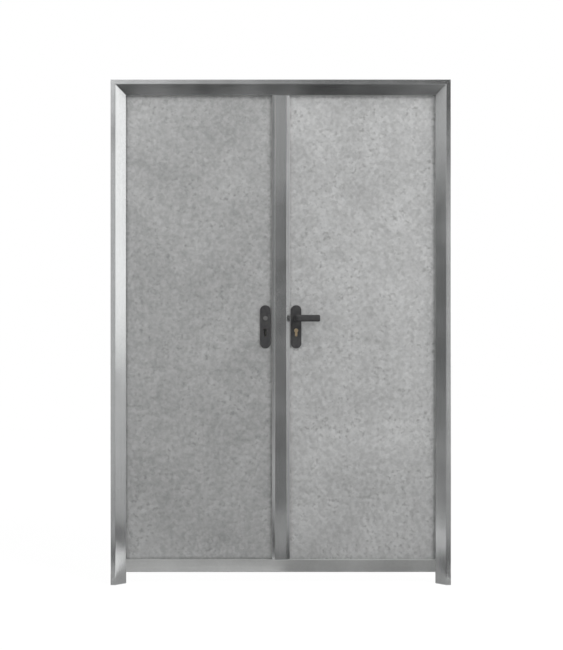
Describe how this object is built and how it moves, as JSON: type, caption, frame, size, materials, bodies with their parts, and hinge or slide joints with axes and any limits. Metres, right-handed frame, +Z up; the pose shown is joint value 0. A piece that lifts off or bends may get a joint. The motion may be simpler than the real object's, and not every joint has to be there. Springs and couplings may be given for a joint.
{
  "type": "galvanized steel double door",
  "caption": "Galvanized steel double door in its folded frame, with a fixed centre post, insulated leaves opening to the back, a lever handle and a key cylinder.",
  "frame": {"origin": "on the flat underside of the bottom bar, at floor level, halfway between the jambs and below the middle of the bar's front upstand", "axes": "+X to the right seen from the front, +Y from the front to the back, towards which the leaves open, +Z up"},
  "size_m": [1.425, 0.166, 2.118],
  "materials": {
    "galvanized_frame": "smooth galvanized",
    "galvanized_leaf": "matt spangled galvanized",
    "hinge_steel": "zinc plated",
    "lock_steel": "zinc plated",
    "black_plastic": "fine grained",
    "blank_plastic": "plain",
    "cylinder_brass": "satin",
    "seal_rubber": "matt",
    "core_wool": "mineral wool"
  },
  "bodies": {
    "frame": {"bottom_bar": "galvanized_frame", "centre_post": "galvanized_frame", "head": "galvanized_frame", "left_anchors": "galvanized_frame", "left_jamb": "galvanized_frame", "left_lower_hinge_frame_half": "hinge_steel", "left_seal": "seal_rubber", "left_upper_hinge_frame_half": "hinge_steel", "right_anchors": "galvanized_frame", "right_jamb": "galvanized_frame", "right_lower_hinge_frame_half": "hinge_steel", "right_seal": "seal_rubber", "right_upper_hinge_frame_half": "hinge_steel"},
    "left_leaf": {"left_back_plate": "black_plastic", "left_front_plate": "black_plastic", "left_leaf_back_skin": "galvanized_leaf", "left_leaf_core": "core_wool", "left_leaf_front_skin": "galvanized_leaf", "left_lock": "lock_steel", "left_lower_hinge_leaf_half": "hinge_steel", "left_spindle_blank": "blank_plastic", "left_upper_hinge_leaf_half": "hinge_steel"},
    "right_leaf": {"key_cylinder": "cylinder_brass", "right_back_plate": "black_plastic", "right_front_plate": "black_plastic", "right_leaf_back_skin": "galvanized_leaf", "right_leaf_core": "core_wool", "right_leaf_front_skin": "galvanized_leaf", "right_lock": "lock_steel", "right_lower_hinge_leaf_half": "hinge_steel", "right_upper_hinge_leaf_half": "hinge_steel"},
    "lever": {"back_lever": "black_plastic", "front_lever": "black_plastic", "spindle": "lock_steel"}
  },
  "joints": [
    {"name": "left_leaf_hinge", "type": "hinge", "parent": "frame", "child": "left_leaf", "pos_m": [-0.6705, 0.068, 1], "axis": [0, 0, 1], "range_deg": [0, 170]},
    {"name": "right_leaf_hinge", "type": "hinge", "parent": "frame", "child": "right_leaf", "pos_m": [0.6705, 0.068, 1], "axis": [0, 0, -1], "range_deg": [0, 170]},
    {"name": "lever_turn", "type": "hinge", "parent": "right_leaf", "child": "lever", "pos_m": [0.065, 0, 1.07], "axis": [0, 1, 0], "range_deg": [0, 45], "stiffness_Nm_per_rad": 1.5, "springref_deg": -17.19}
  ]
}
